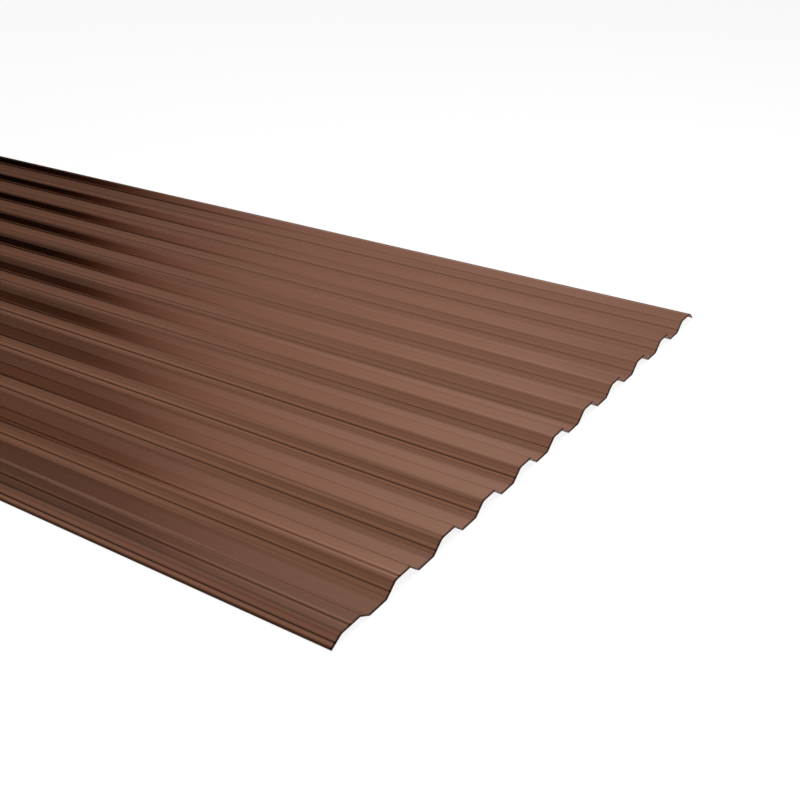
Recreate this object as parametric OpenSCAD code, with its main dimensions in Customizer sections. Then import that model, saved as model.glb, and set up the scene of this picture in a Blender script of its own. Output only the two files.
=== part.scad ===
// Corrugated polycarbonate roofing sheet, one piece of stock.
// The waves run along X, the sheet lies flat on its valleys, and z = 0 is the valleys' underside.
// The near edge (-Y) starts at the foot of a lower first wave, which tucks under the next sheet.
// The far edge (+Y) has a wider last wave to lap over it, and stops a little above the floor.

/* [Sheet] */
// Length of the sheet along its waves
sheet_length = 2000; // [500:50:4000]
// Thickness of the plastic
wall = 0.8; // [0.6:0.1:1.2]

/* [Waves] */
// Number of waves across the sheet
wave_count = 11; // [3:1:16]
// Distance from one wave to the next
pitch = 76; // [70:1:100]
// Rise of a full wave, from a valley's underside to a crest's underside
wave_height = 12; // [9:0.5:16]
// Width of the flat crest between the corners of its two bends
crest_width = 23; // [16:0.5:26]
// Sideways run of a flank between the corners at its foot and its crest
flank_run = 14; // [12:0.5:18]
// Radius on the inner side of each bend
bend_radius = 3; // [1:0.5:4]

/* [Flank crease] */
// Height of the crease above the valley's underside
crease_height = 4; // [4:0.25:5]
// Width of the crease, measured along the flank
crease_width = 1.6; // [0.8:0.1:2]
// Depth to which the crease is pressed in
crease_depth = 0.3; // [0.1:0.05:0.5]

/* [Edges] */
// Rise of the first wave
edge_wave_height = 8; // [7:0.5:9]
// Width of the first wave's crest between the corners of its two bends
edge_crest_width = 26; // [23:0.5:28]
// Width of the last wave's crest, which laps over the next sheet's first wave
lap_crest_width = 30; // [27:0.5:34]
// Height above the valleys at which the last flank stops
far_edge_height = 2.4; // [0:0.2:2.6]

/* [Hidden] */
// Straight pieces that make up one bend
bend_steps = 5;
last_wave = wave_count - 1;
mid_radius = bend_radius + wall / 2;

// A corner of the section's middle line: its place across the sheet, its height, its bend radius.
function corner(y, z, radius) = [y, z + wall / 2, radius];

// Unit direction from one corner to the next, and the direction square to it on its upper side.
function direction(a, b) = let (run = [b[0] - a[0], b[1] - a[1]]) run / norm(run);
function upper_side(dir) = [-dir[1], dir[0]];

// A flank with its crease: the foot or crest where it starts, then the three corners of the crease.
// The flank is the straight line from start to end, and the crease sits where it passes crease_height.
function creased(start, end) =
    let (
        dir = direction(start, end),
        share = (crease_height + wall / 2 - start[1]) / (end[1] - start[1]),
        middle = [start[0] + (end[0] - start[0]) * share, crease_height + wall / 2],
        lead_in = middle - dir * crease_width / 2,
        bottom = middle - upper_side(dir) * crease_depth,
        lead_out = middle + dir * crease_width / 2
    )
    [start, [lead_in[0], lead_in[1], 0], [bottom[0], bottom[1], 0], [lead_out[0], lead_out[1], 0]];

// Corners of wave k, from the foot of its near flank to the foot of its far flank.
// The first wave is wider on its near side, and the last one on its far side.
function near_start(k) = k * pitch + (k == 0 ? crest_width - edge_crest_width : 0);
function far_start(k) = k * pitch + flank_run + (k == last_wave ? lap_crest_width : crest_width);
function rise(k) = k == 0 ? edge_wave_height : wave_height;
function near_foot(k) = corner(near_start(k), 0, mid_radius);
function near_crest(k) = corner(near_start(k) + flank_run, rise(k), mid_radius);
function far_crest(k) = corner(far_start(k), rise(k), mid_radius);
function far_foot(k) = corner(far_start(k) + flank_run, 0, mid_radius);

// The last flank stops part of the way down.
function far_end() =
    let (dropped = (wave_height - far_edge_height) / wave_height)
    corner(far_crest(last_wave)[0] + flank_run * dropped, far_edge_height, 0);

// Corners of the whole middle line, from the near edge to the far edge.
middle_line = concat(
    [
        for (k = [0 : last_wave])
        each concat(
            creased(near_foot(k), near_crest(k)),
            [near_crest(k)],
            creased(far_crest(k), k == last_wave ? far_end() : far_foot(k)),
            k == last_wave ? [] : [far_foot(k)]
        )
    ],
    [far_end()]
);

// One face of the sheet: the middle line moved by offset to its upper side, with its bends rounded.
function end_point(at, dir, offset) = [[at[0], at[1]] + upper_side(dir) * offset];

function sharp_corner(at, dir_in, dir_out, offset) =
    let (
        between = (dir_in + dir_out) / norm(dir_in + dir_out),
        stretch = 1 / (between * dir_in)
    )
    [[at[0], at[1]] + upper_side(between) * offset * stretch];

function round_corner(at, dir_in, dir_out, offset) =
    let (
        start_angle = atan2(dir_in[1], dir_in[0]),
        turn = atan2(dir_out[1], dir_out[0]) - start_angle,
        side = sign(turn),
        tangent = at[2] * tan(abs(turn) / 2),
        centre = [at[0], at[1]] - dir_in * tangent + upper_side(dir_in) * side * at[2]
    )
    [
        for (i = [0 : bend_steps])
        let (
            angle = start_angle + turn * i / bend_steps,
            outward = [-sin(angle), cos(angle)]
        )
        centre + outward * (offset - side * at[2])
    ];

function face(offset) = [
    for (i = [0 : len(middle_line) - 1])
    let (
        at = middle_line[i],
        dir_in = direction(middle_line[max(i - 1, 0)], middle_line[max(i, 1)]),
        dir_out = direction(
            middle_line[min(i, len(middle_line) - 2)],
            middle_line[min(i + 1, len(middle_line) - 1)]
        )
    )
    each (
        i == 0 || i == len(middle_line) - 1 ? end_point(at, dir_in, offset)
        : at[2] == 0 ? sharp_corner(at, dir_in, dir_out, offset)
        : round_corner(at, dir_in, dir_out, offset)
    )
];

upper_face = face(wall / 2);
lower_face = face(-wall / 2);
section = concat(upper_face, [for (i = [len(lower_face) - 1 : -1 : 0]) lower_face[i]]);
near_side = min([for (point = section) point[0]]);
far_side = max([for (point = section) point[0]]);

module corrugated_sheet() {
    color([0.48, 0.34, 0.28])
        translate([-sheet_length / 2, -(near_side + far_side) / 2, 0])
            rotate([90, 0, 90])
                linear_extrude(height = sheet_length)
                    polygon(section);
}

corrugated_sheet();
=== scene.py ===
import math
from collections import namedtuple

import bpy
from mathutils import Matrix, Vector, noise


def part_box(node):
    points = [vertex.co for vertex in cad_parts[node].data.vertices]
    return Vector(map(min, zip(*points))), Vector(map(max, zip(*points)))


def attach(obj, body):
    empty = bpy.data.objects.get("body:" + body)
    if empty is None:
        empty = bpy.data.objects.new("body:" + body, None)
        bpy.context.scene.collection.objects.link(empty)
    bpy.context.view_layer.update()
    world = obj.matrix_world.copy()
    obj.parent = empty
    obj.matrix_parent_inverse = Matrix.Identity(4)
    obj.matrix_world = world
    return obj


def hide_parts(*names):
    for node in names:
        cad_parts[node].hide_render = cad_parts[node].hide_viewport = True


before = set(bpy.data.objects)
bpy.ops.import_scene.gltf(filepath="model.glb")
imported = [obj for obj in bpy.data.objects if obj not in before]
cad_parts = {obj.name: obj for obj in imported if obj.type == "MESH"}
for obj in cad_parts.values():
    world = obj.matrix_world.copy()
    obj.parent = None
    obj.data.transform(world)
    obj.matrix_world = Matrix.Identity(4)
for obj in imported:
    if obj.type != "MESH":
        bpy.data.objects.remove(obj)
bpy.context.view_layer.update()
NODE = "corrugated_sheet"
BOX_LOW, BOX_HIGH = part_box(NODE)
MM = 0.001

# ---------------------------------------------------------------- section sizes, as in part.scad, in mm
WALL = 0.8
WAVES = 11
PITCH = 76.0
WAVE_HEIGHT = 12.0
CREST_WIDTH = 23.0
FLANK_RUN = 14.0
BEND_RADIUS = 3.0
CREASE_HEIGHT = 4.0
CREASE_WIDTH = 1.6
CREASE_DEPTH = 0.3
EDGE_WAVE_HEIGHT = 8.0
EDGE_CREST_WIDTH = 26.0
LAP_CREST_WIDTH = 30.0
FAR_EDGE_HEIGHT = 2.4

LAST = WAVES - 1
MID_RADIUS = BEND_RADIUS + WALL / 2
# the near crest bends are a little softer than the rest, and the feet a little crisper
SOFT_RADIUS = 8.0
CRISP_RADIUS = 2.0
# how far across each near flank's crease lies from its true place, from the first wave to the last
CREASE_SHIFT = [-1.0, 1.1, -0.3, -0.3, -0.2, -1.0, -1.2, -1.4, -1.5, -1.6, -1.6]

# ---------------------------------------------------------------- the mesh, with its distances in mm
BEND_STEPS = 6        # steps round a bend
STATIONS = 56         # steps along the length
SUPPORT = 0.35        # how far a support column stands from a bend or a crease
FLAT_STEP = 5.0       # widest step between columns on a flat
EDGE_MARGIN = 0.02    # how far inside the box the long edges stay
CREASE_SIDE_SHADE = 0.6     # how dark the painted shade on the sides of a crease is, where its bottom is 1

# the slow unevenness of rolled sheet: how far it goes, and how fast it changes along and across
LIFT = 0.42
SWAY = 0.25
CHANGE_ALONG = 0.0030
CHANGE_ACROSS = 0.011
SWAY_CHANGE = 0.3     # the sway changes this much more slowly across
SEED_STEP = (7.31, 3.17, 1.93)

# A column is one line along the sheet: its place and normal on the middle line of the section, how much
# further its surfaces stand off at a mitre, whether its edge is sharp, and whether it is a crease's bottom.
Column = namedtuple("Column", "place normal stretch sharp bottom")


# ---------------------------------------------------------------- section
def unit(a, b):
    return Vector((b[0] - a[0], b[1] - a[1])).normalized()


def upper_side(d):
    return Vector((-d.y, d.x))


def corner(y, z, radius=MID_RADIUS):
    return (y, z + WALL / 2, radius)


def creased(start, end, shift=0.0):
    """A flank's corners: where it starts, then the lead-in, bottom and lead-out of its pressed crease."""
    d = unit(start, end)
    share = (CREASE_HEIGHT + WALL / 2 - start[1]) / (end[1] - start[1]) + shift / (end[0] - start[0])
    middle = Vector((start[0] + (end[0] - start[0]) * share, start[1] + (end[1] - start[1]) * share))
    lead_in = middle - d * CREASE_WIDTH / 2
    bottom = middle - upper_side(d) * CREASE_DEPTH
    lead_out = middle + d * CREASE_WIDTH / 2
    return [start] + [(p.x, p.y, 0) for p in (lead_in, bottom, lead_out)]


def middle_line():
    """Corners of the section's middle line from the near edge to the far one: (across, height, radius)."""
    line = []
    for k in range(WAVES):
        near = k * PITCH + (CREST_WIDTH - EDGE_CREST_WIDTH if k == 0 else 0)
        far = k * PITCH + FLANK_RUN + (LAP_CREST_WIDTH if k == LAST else CREST_WIDTH)
        rise = EDGE_WAVE_HEIGHT if k == 0 else WAVE_HEIGHT
        near_foot = corner(near, 0, CRISP_RADIUS)
        near_crest = corner(near + FLANK_RUN, rise, SOFT_RADIUS)
        far_crest = corner(far, rise)
        if k == LAST:
            dropped = (WAVE_HEIGHT - FAR_EDGE_HEIGHT) / WAVE_HEIGHT
            far_foot = corner(far + FLANK_RUN * dropped, FAR_EDGE_HEIGHT, 0)
        else:
            far_foot = corner(far + FLANK_RUN, 0, CRISP_RADIUS)
        line += creased(near_foot, near_crest, CREASE_SHIFT[k]) + [near_crest]
        line += [far_crest] if k == 0 else creased(far_crest, far_foot)
        line.append(far_foot)
    return line


def corner_columns(before, at, after):
    """The columns at one corner of the middle line: one at an end or a crease, several round a bend."""
    here = Vector(at[:2])
    if before is None or after is None:
        d = unit(at, after) if before is None else unit(before, at)
        return [Column(here, upper_side(d), 1.0, True, False)]
    d_in, d_out = unit(before, at), unit(at, after)
    radius = at[2]
    if radius == 0:
        between = (d_in + d_out).normalized()
        turns_up = d_in.x * d_out.y - d_in.y * d_out.x > 0
        return [Column(here, upper_side(between), 1 / between.dot(d_in), True, turns_up)]
    start = math.atan2(d_in.y, d_in.x)
    turn = math.atan2(d_out.y, d_out.x) - start
    side = math.copysign(1, turn)
    tangent = radius * math.tan(abs(turn) / 2)
    centre = here - d_in * tangent + upper_side(d_in) * side * radius
    columns = []
    for s in range(BEND_STEPS + 1):
        angle = start + turn * s / BEND_STEPS
        normal = Vector((-math.sin(angle), math.cos(angle)))
        columns.append(Column(centre - normal * side * radius, normal, 1.0, False, False))
    return columns


def flat_columns(a, b):
    """The columns along the flat from column a to column b."""
    gap = b.place - a.place
    d = gap.normalized()
    if gap.length < 3 * SUPPORT:
        return []
    inner = gap.length - 2 * SUPPORT
    steps = max(1, math.ceil(inner / FLAT_STEP))
    places = [a.place + d * (SUPPORT + inner * i / steps) for i in range(steps + 1)]
    return [Column(place, upper_side(d), 1.0, False, False) for place in places]


def section():
    line = middle_line()
    corners = [corner_columns(*three) for three in zip([None] + line[:-1], line, line[1:] + [None])]
    columns = list(corners[0])
    for group in corners[1:]:
        columns += flat_columns(columns[-1], group[0])
        columns += group
    return columns


COLUMNS = section()
MIDDLE = (max(c.place.x + abs(c.normal.x) * WALL / 2 for c in COLUMNS)
          + min(c.place.x - abs(c.normal.x) * WALL / 2 for c in COLUMNS)) / 2


# ---------------------------------------------------------------- the sheet's mesh
def wander(x, across, seed):
    """Smooth noise from -1 to 1 over the sheet, long along x and about a wave wide."""
    u, v, w = (seed * step for step in SEED_STEP)
    return noise.noise(Vector((x * CHANGE_ALONG + u, across * CHANGE_ACROSS + v, w)))


def uneven(x, place):
    """How far the sheet stands off its true section there, in mm: (across, up).

    Valleys only rise and crests only sink, so the sheet stays inside its box.
    """
    high = place.y / (WAVE_HEIGHT + WALL / 2)
    share = 0.5 + 0.5 * wander(x, place.x, 1)
    lift = LIFT * share * (1 - high) - LIFT * (1 - share) * high
    return SWAY * wander(x, place.x * SWAY_CHANGE, 2), lift


def ring_points(x):
    """The points round the section at x, in m: the upper side from near to far, then the lower side."""
    y_low = BOX_LOW.y / MM + EDGE_MARGIN
    y_high = BOX_HIGH.y / MM - EDGE_MARGIN
    points = []
    for side in (1, -1):
        for column in COLUMNS:
            sway, lift = uneven(x, column.place)
            at = column.place + column.normal * side * column.stretch * WALL / 2
            y = min(max(at.x + sway - MIDDLE, y_low), y_high)
            z = min(max(at.y + lift, 0.0), WAVE_HEIGHT + WALL)
            points.append((x * MM, y * MM, z * MM))
    return points


def sheet_faces():
    """The sheet's faces and their material slots: 0 on the broad sides, 1 on the long edges and cut ends."""
    n = len(COLUMNS)
    ring = 2 * n
    end = STATIONS * ring
    faces, slots = [], []
    for i in range(STATIONS):
        a, b = i * ring, (i + 1) * ring
        faces += [(a + j, b + j, b + j + 1, a + j + 1) for j in range(n - 1)]
        faces += [(a + n + j, a + n + j + 1, b + n + j + 1, b + n + j) for j in range(n - 1)]
        faces.append((a, a + n, b + n, b))
        faces.append((a + n - 1, b + n - 1, b + ring - 1, a + ring - 1))
        slots += [0] * 2 * (n - 1) + [1, 1]
    for j in range(n - 1):
        faces.append((j, j + 1, n + j + 1, n + j))
        faces.append((end + j, end + n + j, end + n + j + 1, end + j + 1))
        slots += [1, 1]
    return faces, slots


def column_values():
    """What the material reads at each column.

    across and arc are its places across the sheet and round the section, in m. crease, the strength of the
    painted crease shade, is 1 at a crease's bottom, and high goes from 0 in the valleys to 1 on the crests.
    """
    values = {"across": [], "arc": [], "crease": [], "high": []}
    arc = 0.0
    for j, column in enumerate(COLUMNS):
        if j > 0:
            arc += (column.place - COLUMNS[j - 1].place).length
        beside = any(c.bottom for c in COLUMNS[max(j - 1, 0):j + 2])
        on_first = column.place.x < PITCH / 2 + FLANK_RUN
        values["across"].append(column.place.x * MM)
        values["arc"].append(arc * MM)
        values["crease"].append(1.0 if column.bottom else CREASE_SIDE_SHADE if beside else 0.0)
        values["high"].append((column.place.y - WALL / 2) / (EDGE_WAVE_HEIGHT if on_first else WAVE_HEIGHT))
    return values


def is_sharp(edge):
    """The creases, cut ends and long edges are sharp, and the bends are smooth."""
    n = len(COLUMNS)
    columns = [v % (2 * n) % n for v in edge.vertices]
    stations = [v // (2 * n) for v in edge.vertices]
    along = stations[0] != stations[1]
    at_cut_end = not along and stations[0] in (0, STATIONS)
    on_long_edge = all(j in (0, n - 1) for j in columns)
    return (along and COLUMNS[columns[0]].sharp) or at_cut_end or on_long_edge


def build_sheet():
    length = (BOX_HIGH.x - BOX_LOW.x) / MM
    points = []
    for i in range(STATIONS + 1):
        points += ring_points(-length / 2 + length * i / STATIONS)
    faces, slots = sheet_faces()
    mesh = bpy.data.meshes.new("corrugated_sheet_surface")
    mesh.from_pydata(points, [], faces)
    mesh.validate()
    mesh.update()
    mesh.polygons.foreach_set("material_index", slots)
    mesh.polygons.foreach_set("use_smooth", [True] * len(faces))
    for name, values in column_values().items():
        layer = mesh.attributes.new(name, "FLOAT", "POINT")
        layer.data.foreach_set("value", values * 2 * (STATIONS + 1))
    layer = mesh.attributes.new("sharp_edge", "BOOLEAN", "EDGE")
    layer.data.foreach_set("value", [is_sharp(edge) for edge in mesh.edges])
    sheet = bpy.data.objects.new("polycarbonate_sheet", mesh)
    bpy.context.scene.collection.objects.link(sheet)
    return sheet


# ---------------------------------------------------------------- nodes
def material(name):
    m = bpy.data.materials.new(name)
    m.use_nodes = True
    t = m.node_tree
    t.nodes.clear()
    return m, t, t.nodes.new("ShaderNodeOutputMaterial")


def node(t, kind, **values):
    n = t.nodes.new(kind)
    for key, value in values.items():
        setattr(n, key, value)
    return n


def math_node(t, op, a, b=None, clamp=False):
    n = node(t, "ShaderNodeMath", operation=op, use_clamp=clamp)
    for i, v in enumerate((a, b)):
        if isinstance(v, (int, float)):
            n.inputs[i].default_value = v
        elif v is not None:
            t.links.new(v, n.inputs[i])
    return n.outputs[0]


def add(t, *values):
    total = values[0]
    for value in values[1:]:
        total = math_node(t, "ADD", total, value)
    return total


def times(t, a, b):
    return math_node(t, "MULTIPLY", a, b)


def minus(t, a, b):
    return math_node(t, "SUBTRACT", a, b)


def attribute(t, name):
    return node(t, "ShaderNodeAttribute", attribute_name=name).outputs["Fac"]


def object_axes(t):
    split = node(t, "ShaderNodeSeparateXYZ")
    t.links.new(node(t, "ShaderNodeTexCoord").outputs["Object"], split.inputs[0])
    return split.outputs


def scaled(t, value, low, high, interpolation="LINEAR"):
    """0 at low and 1 at high, straight between."""
    n = node(t, "ShaderNodeMapRange", interpolation_type=interpolation)
    n.inputs["From Min"].default_value = low
    n.inputs["From Max"].default_value = high
    t.links.new(value, n.inputs["Value"])
    return n.outputs["Result"]


def smooth_step(t, value, low, high):
    """0 at low and 1 at high, smooth between; low may be above high."""
    return scaled(t, value, low, high, "SMOOTHSTEP")


def band(t, value, low, full_from, full_to, high):
    """1 between full_from and full_to, easing to 0 at low and high, in mm."""
    rise = smooth_step(t, value, low * MM, full_from * MM)
    fall = smooth_step(t, value, high * MM, full_to * MM)
    return times(t, rise, fall)


def line_masks(t, value, lines):
    """A soft line for each (centre, half width, strength), in mm."""
    masks = []
    for centre, half_width, strength in lines:
        off = math_node(t, "ABSOLUTE", minus(t, value, centre * MM))
        masks.append(times(t, smooth_step(t, off, half_width * MM, 0.0), strength))
    return masks


def colours(t, value, stops):
    """A ramp of (place from 0 to 1, colour), straight between them."""
    n = node(t, "ShaderNodeValToRGB")
    elements = n.color_ramp.elements
    while len(elements) < len(stops):
        elements.new(0.5)
    for i, (place, colour) in enumerate(stops):
        elements[i].position = place
        elements[i].color = (*colour, 1)
    t.links.new(value, n.inputs[0])
    return n.outputs[0]


def scaled_colours(t, value, stops):
    """A ramp whose places are in value's own units."""
    low, high = stops[0][0], stops[-1][0]
    stops = [((place - low) / (high - low), colour) for place, colour in stops]
    return colours(t, scaled(t, value, low, high), stops)


def blended(t, blend, factor, colour, fixed):
    """The colour blended with a fixed one, as far as the factor says."""
    n = node(t, "ShaderNodeMix", data_type="RGBA", blend_type=blend)
    t.links.new(factor, n.inputs["Factor"])
    t.links.new(colour, n.inputs[6])
    n.inputs[7].default_value = (*fixed, 1)
    return n.outputs[2]


def bumped(t, height, strength, distance):
    n = node(t, "ShaderNodeBump")
    n.inputs["Strength"].default_value = strength
    n.inputs["Distance"].default_value = distance
    t.links.new(height, n.inputs["Height"])
    return n.outputs[0]


# ---------------------------------------------------------------- the sheet's material
# noises: scales along the sheet and round its section, detail, roughness, and a shift to tell them apart
STREAK = ((1.3, 260.0), 3.0, 0.6, 1.0)
CLOUD = ((5.0, 14.0), 3.0, 0.5, 4.0)
GRAIN = ((420.0, 620.0), 2.0, 0.6, 9.0)
BREAKS = ((3.0, 90.0), 2.0, 0.6, 13.0)
TONE_SHARES = (0.45, 0.25, 0.30)      # of the streaks, clouds and grain

BASE_TONES = [(0.32, (0.257, 0.133, 0.0925)), (0.68, (0.299, 0.158, 0.112))]
# the near-black colour that the painted shade of the creases, dark lines and cut-end rims is mixed towards
PAINTED_SHADE_COLOUR = (0.028, 0.010, 0.006)
EDGE_TINT = (0.59, 0.51, 0.50)        # of the gloss at a grazing angle
FOOT_TINT = (1.0, 0.955, 0.88)        # the feet of the flanks are a little warmer
PLASTIC_IOR = 1.58

# soft lines, each (place, half width, strength), in mm
# dark ones on every wave, painted shade; their places count from the wave's own foot
WAVE_SHADE_LINES = [(1.0, 2.2, 0.12), (8.3, 0.9, 0.20), (35.8, 3.0, 0.08), (70.8, 3.2, 0.12)]
# dark ones on single waves, painted shade too; their places count from the first wave's foot, as those of
# the painted highlights do
SINGLE_SHADE_LINES = [(-2.2, 2.0, 0.95), (23.3, 2.0, 0.95), (90.0, 2.4, 0.26), (96.2, 2.4, 0.66),
                (168.6, 2.8, 0.40), (243.0, 4.0, 0.14), (317.0, 1.8, 0.15), (392.6, 1.6, 0.12),
                (803.5, 5.0, 0.55)]
# light ones beside them: painted highlights
PAINTED_HIGHLIGHT_LINES = [(1.0, 1.6, 0.4), (5.6, 1.8, 0.4), (20.6, 1.8, 0.5), (26.2, 2.0, 0.7), (79.4, 1.8, 0.3),
               (83.2, 1.8, 0.6), (93.4, 2.0, 0.30), (99.8, 2.4, 0.45), (158.8, 2.0, 0.6),
               (230.8, 1.8, 0.6), (234.6, 1.8, 0.7), (306.8, 1.6, 0.4), (310.8, 1.8, 0.5),
               (396.5, 5.0, 0.15), (472.5, 5.0, 0.18), (548.5, 5.0, 0.2)]
# how much the painted highlights lighten the colour
PAINTED_HIGHLIGHT_GAIN = 0.35
LINE_BREAKS = (0.6, 0.6)              # the least strength of a dark line, and what its noise adds
LINE_DEPTH = 1.5                      # how deep the dark lines are cut, against the grain
# how dark the painted shade in the creases is on the first five waves and on the rest, and where that
# changes, in waves
CREASE_SHADE = (0.95, 0.42)
CREASE_CHANGE = (4.6, 5.4)
# the darkened rim at the cut ends: how far in it starts and is full, in mm, and its strength
CUT_SHADE = (2.4, 0.8, 0.85)

# bands of a wave, in mm from its foot: (from, full from, full to, to)
BEND_BAND = (10.0, 11.3, 13.1, 14.1)
LEE_BAND = (36.5, 38.5, 50.0, 52.0)
VALLEY_BAND = (50.0, 52.5, 74.5, 76.5)
FOOT_BAND = (66.0, 71.0, 74.5, 76.5)
VALUE_PLACE = 0.84                    # where each wave's own value holds, in waves from its foot
# and of the first wave only
FIRST_FLANK_BAND = (2.5, 4.0, 9.5, 12.0)
FIRST_CREST_BAND = (9.5, 12.0, 35.5, 38.0)
FIRST_LEE_BAND = (36.5, 39.0, 48.5, 50.5)

# how light the bands are against the rest, as painted light and shade; those of the valleys and feet go from
# the first to the last
VALLEY_TONE = [0.72, 0.93, 0.97, 1.0, 1.02, 1.06, 1.08, 1.15, 1.24, 1.36, 1.36]
FOOT_TONE = [0.68, 0.68, 0.85, 0.96, 0.84, 0.79, 0.97, 1.12, 1.14, 1.24, 1.24]
BEND_SHADE = 0.85
FIRST_FLANK_SHADE = 0.80
FIRST_CREST_SHADE = 0.58
FIRST_LEE_LIGHT = 1.45
# how much of the light they spread and don't mirror
FOOT_SPREAD = [0.0, 0.12, 0.03, 0.03, 0.15, 0.12, 0.18, 0.22, 0.24, 0.26, 0.26]
LEE_SPREAD = 0.25
DUST_SPREAD = 0.08
FIRST_CREST_SPREAD = 0.16

# where the dust starts and where it is full, as shares of a wave's height
DUST_HEIGHTS = (0.95, 0.1)
FIRST_CREST_WARMTH = 0.5              # against the feet
# roughness: the least, what the clouds add, and what the dust in the valleys adds
ROUGHNESS = (0.13, 0.08, 0.08)
BUMP_STRENGTH = 0.25
BUMP_DEPTH = 0.00005                  # in m


def stretched_noise(t, along, round_section, scales, detail, rough, shift):
    """Noise with its own scale along the sheet and round its section."""
    place = node(t, "ShaderNodeCombineXYZ")
    t.links.new(times(t, along, scales[0]), place.inputs[0])
    t.links.new(times(t, round_section, scales[1]), place.inputs[1])
    place.inputs[2].default_value = shift
    n = node(t, "ShaderNodeTexNoise")
    n.inputs["Scale"].default_value = 1.0
    n.inputs["Detail"].default_value = detail
    n.inputs["Roughness"].default_value = rough
    t.links.new(place.outputs[0], n.inputs["Vector"])
    return n.outputs["Fac"]


def by_wave(t, across, values):
    """One value for each wave, blending from one wave to the next; values stay below 2."""
    last = len(values) - 1
    place = scaled(t, across, VALUE_PLACE * PITCH * MM, (last + VALUE_PLACE) * PITCH * MM)
    stops = [(k / last, (value / 2, value / 2, value / 2)) for k, value in enumerate(values)]
    return times(t, colours(t, place, stops), 2.0)


def painted_shade_lines(t, along, across, wave, breaks):
    """The painted shade lines, a little broken up, and the painted shade of the rim at the cut ends."""
    least, from_noise = LINE_BREAKS
    lines = add(t, *line_masks(t, wave, WAVE_SHADE_LINES), *line_masks(t, across, SINGLE_SHADE_LINES))
    lines = times(t, lines, add(t, times(t, breaks, from_noise), least))
    start, full, strength = CUT_SHADE
    off_middle = math_node(t, "ABSOLUTE", along)
    rim = smooth_step(t, off_middle, BOX_HIGH.x - start * MM, BOX_HIGH.x - full * MM)
    return add(t, lines, times(t, rim, strength))


def creases(t, across):
    """Painted shade in the pressed creases, weaker on the far waves."""
    first, rest = CREASE_SHADE
    far_waves = smooth_step(t, across, CREASE_CHANGE[0] * PITCH * MM, CREASE_CHANGE[1] * PITCH * MM)
    return times(t, attribute(t, "crease"), minus(t, first, times(t, far_waves, first - rest)))


def painted_light_and_shade_gain(t, across, wave, foot, first_crest):
    """How light each place is, as painted light and shade: the feet, valleys, painted highlight lines and
    bends, and bands of the first wave.
    """
    valley = times(t, band(t, wave, *VALLEY_BAND), minus(t, 1.0, foot))
    return add(
        t,
        times(t, foot, minus(t, by_wave(t, across, FOOT_TONE), 1.0)),
        times(t, valley, minus(t, by_wave(t, across, VALLEY_TONE), 1.0)),
        times(t, add(t, *line_masks(t, across, PAINTED_HIGHLIGHT_LINES)), PAINTED_HIGHLIGHT_GAIN),
        times(t, band(t, wave, *BEND_BAND), BEND_SHADE - 1),
        times(t, first_crest, FIRST_CREST_SHADE - 1),
        times(t, band(t, across, *FIRST_FLANK_BAND), FIRST_FLANK_SHADE - 1),
        times(t, band(t, across, *FIRST_LEE_BAND), FIRST_LEE_LIGHT - 1),
        1.0,
    )


def spread_share(t, across, dust, lee, foot, first_crest):
    """The share of the light that is spread: more in the valleys, on the far flanks and the first crest."""
    return add(
        t,
        times(t, dust, DUST_SPREAD),
        times(t, lee, LEE_SPREAD),
        times(t, foot, by_wave(t, across, FOOT_SPREAD)),
        times(t, first_crest, FIRST_CREST_SPREAD),
    )


def sheet_material():
    m, t, out = material("bronze_polycarbonate")
    bsdf = node(t, "ShaderNodeBsdfPrincipled")
    t.links.new(bsdf.outputs[0], out.inputs[0])
    along = object_axes(t)[0]
    across = attribute(t, "across")
    arc = attribute(t, "arc")
    wave = math_node(t, "MODULO", add(t, across, PITCH * MM), PITCH * MM)

    streak = stretched_noise(t, along, arc, *STREAK)
    cloud = stretched_noise(t, along, arc, *CLOUD)
    grain = stretched_noise(t, along, arc, *GRAIN)
    breaks = stretched_noise(t, along, arc, *BREAKS)
    tone = add(t, *[times(t, part, share) for part, share in zip((streak, cloud, grain), TONE_SHARES)])

    # dust dulls the gloss towards the valleys; the lee is the far flanks
    dust = smooth_step(t, attribute(t, "high"), *DUST_HEIGHTS)
    lee = band(t, wave, *LEE_BAND)
    foot = band(t, wave, *FOOT_BAND)
    first_crest = band(t, across, *FIRST_CREST_BAND)
    lines = painted_shade_lines(t, along, across, wave, breaks)

    # the base tones scaled by the painted light and shade
    toned_with_painted_light = node(t, "ShaderNodeVectorMath", operation="SCALE")
    t.links.new(colours(t, tone, BASE_TONES), toned_with_painted_light.inputs[0])
    t.links.new(painted_light_and_shade_gain(t, across, wave, foot, first_crest), toned_with_painted_light.inputs["Scale"])
    warmth = math_node(t, "ADD", foot, times(t, first_crest, FIRST_CREST_WARMTH), clamp=True)
    colour = blended(t, "MULTIPLY", warmth, toned_with_painted_light.outputs[0], FOOT_TINT)
    # painted shade: the creases, the dark lines and the cut-end rims are mixed towards a near-black colour
    dark = math_node(t, "ADD", creases(t, across), lines, clamp=True)
    t.links.new(blended(t, "MIX", dark, colour, PAINTED_SHADE_COLOUR), bsdf.inputs["Base Color"])

    metallic = minus(t, 1.0, spread_share(t, across, dust, lee, foot, first_crest))
    t.links.new(metallic, bsdf.inputs["Metallic"])
    bsdf.inputs["IOR"].default_value = PLASTIC_IOR
    bsdf.inputs["Specular Tint"].default_value = (*EDGE_TINT, 1)
    least, from_clouds, from_dust = ROUGHNESS
    roughness = add(t, times(t, cloud, from_clouds), least, times(t, dust, from_dust))
    t.links.new(roughness, bsdf.inputs["Roughness"])
    relief = times(t, minus(t, tone, times(t, lines, LINE_DEPTH)), minus(t, 1.0, lee))
    t.links.new(bumped(t, relief, BUMP_STRENGTH, BUMP_DEPTH), bsdf.inputs["Normal"])
    return m


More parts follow.
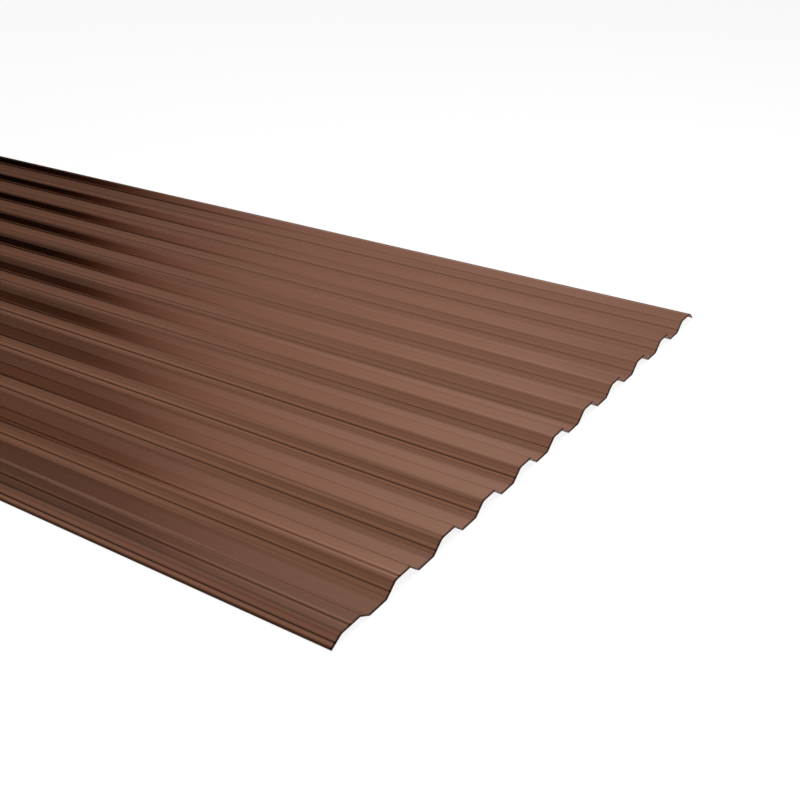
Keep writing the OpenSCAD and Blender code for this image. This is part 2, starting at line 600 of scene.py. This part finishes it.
# ---------------------------------------------------------------- the cut edges' material
# the cut edges' near-black colour is painted shade
CUT_EDGE_SHADE_TONES = [(0.0, (0.010, 0.004, 0.003)), (1.0, (0.032, 0.014, 0.010))]
SAWN_SCALE = 900.0
SAWN_DETAIL = 3.0
SAWN_ROUGHNESS = 0.55
SAWN_SHINE = 0.2
SAWN_BUMP = (0.4, 0.0001)             # strength, and depth in m


def edge_material():
    m, t, out = material("cut_edge")
    bsdf = node(t, "ShaderNodeBsdfPrincipled")
    t.links.new(bsdf.outputs[0], out.inputs[0])
    n = node(t, "ShaderNodeTexNoise")
    n.inputs["Scale"].default_value = SAWN_SCALE
    n.inputs["Detail"].default_value = SAWN_DETAIL
    t.links.new(node(t, "ShaderNodeTexCoord").outputs["Object"], n.inputs["Vector"])
    sawn = n.outputs["Fac"]
    # painted shade: a near-black base colour on the cut edges
    t.links.new(colours(t, sawn, CUT_EDGE_SHADE_TONES), bsdf.inputs["Base Color"])
    bsdf.inputs["Roughness"].default_value = SAWN_ROUGHNESS
    bsdf.inputs["IOR"].default_value = PLASTIC_IOR
    bsdf.inputs["Specular IOR Level"].default_value = SAWN_SHINE
    t.links.new(bumped(t, sawn, *SAWN_BUMP), bsdf.inputs["Normal"])
    return m


# ---------------------------------------------------------------- stage
FLOOR_HALF = 30.0
FLOOR_Z = -0.0003             # the floor lies a hair below the sheet
FLOOR_COLOUR = (0.86, 0.86, 0.86, 1)
FLOOR_WHITE = 0.88            # how much of the floor is plain white to the eye; the rest takes the shadow
WHITE = (1, 1, 1, 1)

# A dark flag with a soft upright edge stands behind the sheet's far left, and a grey ceiling hangs over its
# near side. A roof joins the two, and the flag's foot lies on the floor. They only show in the gloss: the
# flag parts the light crests from the dark ones, the ceiling tones the flanks, and the roof the bends
# between them. Their tones are (place in m, colour) along an axis, given as its shares of x, y and z.
# FLAG_LIFT lightens the flag with its height, and CEILING_FALL darkens the ceiling towards its far left.
CARD_LEFT = -6.0
CARD_RIGHT = 1.6
FLAG_Y = 1.2
FLAG_FOOT_Y = 0.44
FLAG_FOOT_Z = 0.0005
FLAG_TONES = [(-1.55, (0.0, 0.0, 0.0)), (-1.16, (0.015, 0.004, 0.0)), (-1.03, (0.07, 0.03, 0.015)),
              (-0.90, (0.27, 0.18, 0.13)), (-0.77, (0.47, 0.37, 0.31)), (-0.57, (0.67, 0.57, 0.52)),
              (-0.32, (0.82, 0.75, 0.71)), (-0.05, (0.89, 0.84, 0.81)), (0.18, (0.98, 0.96, 0.92)),
              (0.38, (1.0, 1.0, 1.0)), (0.5, (1.0, 1.0, 1.0)), (0.65, (0.87, 0.86, 0.84)),
              (0.85, (0.80, 0.79, 0.76))]
FLAG_LEAN = (1.0, 0.0, 0.12)
FLAG_LIFT = [(0.68, (0.0, 0.0, 0.0)), (0.84, (0.09, 0.045, 0.025)), (0.95, (0.31, 0.235, 0.18)),
             (1.15, (0.38, 0.30, 0.235)), (1.4, (0.36, 0.285, 0.22)), (2.0, (0.36, 0.285, 0.22))]
FLAG_STEP_HEIGHT = 0.42       # below this the flag's dark part reaches further right, by this much
FLAG_STEP = 0.12
CEILING = 2.0
CEILING_LEFT = -5.0
CEILING_RIGHT = 2.0
CEILING_NEAR = -4.0
CEILING_EDGE = 0.03
CEILING_TONES = [(-1.7, (0.49, 0.42, 0.345)), (-1.3, (0.525, 0.455, 0.385)), (-1.0, (0.585, 0.51, 0.43)),
                 (-0.8, (0.65, 0.555, 0.49)), (-0.55, (0.69, 0.60, 0.56)), (-0.35, (0.73, 0.67, 0.615)),
                 (-0.1, (0.83, 0.78, 0.735)), (0.03, (0.86, 0.81, 0.77))]
CEILING_FALL_AXIS = (1, -0.9, 0)
CEILING_FALL = [(-2.6, (0.46, 0.44, 0.40)), (-2.15, (0.56, 0.54, 0.51)), (-1.65, (0.68, 0.66, 0.64)),
                (-1.13, (0.88, 0.87, 0.86)), (-0.6, (1.0, 1.0, 1.0))]
ROOF_TONES = [(-2.1, (0.0, 0.0, 0.0)), (-1.85, (0.06, 0.045, 0.035)), (-1.6, (0.18, 0.15, 0.12)),
              (-1.45, (0.31, 0.26, 0.22)), (-1.28, (0.55, 0.48, 0.43)), (-1.15, (0.73, 0.66, 0.61)),
              (-1.0, (0.80, 0.74, 0.69)), (-0.8, (0.80, 0.75, 0.71)), (-0.4, (0.73, 0.69, 0.65)),
              (0.6, (0.77, 0.74, 0.71))]


def seen_ray(t):
    """1 where the eye, a gloss or a clear surface looks straight at it."""
    path = node(t, "ShaderNodeLightPath")
    seen = add(t, path.outputs["Is Camera Ray"], path.outputs["Is Glossy Ray"])
    return math_node(t, "ADD", seen, path.outputs["Is Transmission Ray"], clamp=True)


def floor_material():
    m, t, out = material("pale_floor")
    bsdf = node(t, "ShaderNodeBsdfDiffuse")
    bsdf.inputs["Color"].default_value = FLOOR_COLOUR
    light = node(t, "ShaderNodeEmission")
    light.inputs["Color"].default_value = WHITE
    light.inputs["Strength"].default_value = 1.0
    mix = node(t, "ShaderNodeMixShader")
    t.links.new(times(t, seen_ray(t), FLOOR_WHITE), mix.inputs[0])
    t.links.new(bsdf.outputs[0], mix.inputs[1])
    t.links.new(light.outputs[0], mix.inputs[2])
    t.links.new(mix.outputs[0], out.inputs[0])
    return m


def card_material(name, tones, axis, blend=None, blend_tones=None, blend_axis=None):
    """Light that changes along one axis, and may be blended with light that changes along another."""
    m, t, out = material(name)
    split = object_axes(t)

    def light_along(stops, shares):
        parts = [times(t, split[i], share) for i, share in enumerate(shares) if share]
        return scaled_colours(t, add(t, *parts), stops)

    colour = light_along(tones, axis)
    if blend:
        mix = node(t, "ShaderNodeMix", data_type="RGBA", blend_type=blend)
        mix.inputs["Factor"].default_value = 1.0
        t.links.new(colour, mix.inputs[6])
        t.links.new(light_along(blend_tones, blend_axis), mix.inputs[7])
        colour = mix.outputs[2]
    light = node(t, "ShaderNodeEmission")
    t.links.new(colour, light.inputs["Color"])
    light.inputs["Strength"].default_value = 1.0
    t.links.new(light.outputs[0], out.inputs[0])
    return m


def plane(name, corners, mat):
    mesh = bpy.data.meshes.new(name)
    mesh.from_pydata(corners, [], [tuple(range(len(corners)))])
    mesh.materials.append(mat)
    obj = bpy.data.objects.new(name, mesh)
    bpy.context.scene.collection.objects.link(obj)
    return obj


def level_corners(x_low, x_high, y_low, y_high, z):
    return [(x_low, y_low, z), (x_high, y_low, z), (x_high, y_high, z), (x_low, y_high, z)]


def upright_corners(x_low, x_high, y, z_low, z_high):
    return [(x_low, y, z_low), (x_high, y, z_low), (x_high, y, z_high), (x_low, y, z_high)]


def card(name, corners, *tones):
    """A studio card that only shows in the sheet's gloss."""
    obj = plane(name, corners, card_material(name, *tones))
    obj.visible_camera = False
    obj.visible_diffuse = False
    obj.visible_shadow = False
    obj.visible_transmission = False


def studio_cards():
    along_x, along_y, along_z = (1, 0, 0), (0, 1, 0), (0, 0, 1)
    corners = upright_corners(CARD_LEFT, CARD_RIGHT, FLAG_Y, FLAG_STEP_HEIGHT, CEILING)
    card("dark_flag", corners, FLAG_TONES, FLAG_LEAN, "LIGHTEN", FLAG_LIFT, along_z)
    corners = upright_corners(CARD_LEFT, CARD_RIGHT, FLAG_Y, 0.0, FLAG_STEP_HEIGHT)
    card("dark_flag_low", corners, [(place + FLAG_STEP, colour) for place, colour in FLAG_TONES], FLAG_LEAN)
    corners = level_corners(CARD_LEFT, CARD_RIGHT, FLAG_FOOT_Y, FLAG_Y, FLAG_FOOT_Z)
    card("flag_foot", corners, FLAG_TONES, along_x)
    corners = level_corners(CEILING_LEFT, CEILING_RIGHT, CEILING_NEAR, CEILING_EDGE, CEILING)
    card("grey_ceiling", corners, CEILING_TONES, along_y, "MULTIPLY", CEILING_FALL, CEILING_FALL_AXIS)
    corners = level_corners(CARD_LEFT, CARD_RIGHT, CEILING_EDGE, FLAG_Y, CEILING)
    card("dark_roof", corners, ROOF_TONES, along_x)


def pale_floor():
    corners = level_corners(-FLOOR_HALF, FLOOR_HALF, -FLOOR_HALF, FLOOR_HALF, FLOOR_Z)
    plane("floor", corners, floor_material())


# ---------------------------------------------------------------- light and camera
SKY_SEEN = 1.0                # how bright the sky looks
SKY_FILL = 0.5                # and how much it lights the sheet
KEY_PLACE = (1.2, 0.4, 2.2)
KEY_TARGET = (0.3, 0.0, 0.0)
KEY_SIZE = 1.6
KEY_POWER = 60.0
CAMERA_PLACE = (1.41509, -0.96290, 0.57508)
# its own axes in the frame: it looks from 32.6 degrees round from -Y towards +X, and 27.0 above the floor
CAMERA_RIGHT = (0.83822557, 0.54514671, 0.01389101)
CAMERA_UP = (-0.25787401, 0.37380870, 0.89093661)
CAMERA_BACK = (0.48049858, -0.75038798, 0.45391518)
CAMERA_LENS = 49.968
SENSOR_WIDTH = 36.0


def studio_world():
    world = bpy.data.worlds.new("studio")
    bpy.context.scene.world = world
    world.use_nodes = True
    t = world.node_tree
    t.nodes.clear()
    out = node(t, "ShaderNodeOutputWorld")
    mix = node(t, "ShaderNodeMixShader")
    t.links.new(seen_ray(t), mix.inputs[0])
    for i, strength in enumerate((SKY_FILL, SKY_SEEN), start=1):
        sky = node(t, "ShaderNodeBackground")
        sky.inputs["Color"].default_value = WHITE
        sky.inputs["Strength"].default_value = strength
        t.links.new(sky.outputs[0], mix.inputs[i])
    t.links.new(mix.outputs[0], out.inputs[0])


def key_lamp():
    lamp = bpy.data.lights.new("key", "AREA")
    lamp.shape = "SQUARE"
    lamp.size = KEY_SIZE
    lamp.energy = KEY_POWER
    obj = bpy.data.objects.new("key", lamp)
    obj.location = KEY_PLACE
    obj.rotation_euler = (Vector(KEY_TARGET) - Vector(KEY_PLACE)).to_track_quat("-Z", "Y").to_euler()
    obj.visible_glossy = False
    bpy.context.scene.collection.objects.link(obj)


def add_camera():
    data = bpy.data.cameras.new("camera")
    data.sensor_width = SENSOR_WIDTH
    data.lens = CAMERA_LENS
    data.clip_start = 0.01
    data.clip_end = 200.0
    camera = bpy.data.objects.new("camera", data)
    rows = zip(CAMERA_RIGHT, CAMERA_UP, CAMERA_BACK, CAMERA_PLACE)
    camera.matrix_world = Matrix((*rows, (0, 0, 0, 1)))
    bpy.context.scene.collection.objects.link(camera)
    bpy.context.scene.camera = camera


# ---------------------------------------------------------------- the scene
sheet = build_sheet()
sheet.data.materials.append(sheet_material())
sheet.data.materials.append(edge_material())
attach(sheet, "root")
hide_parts(NODE)

pale_floor()
studio_cards()
studio_world()
key_lamp()
add_camera()
bpy.context.scene.view_settings.view_transform = "Standard"
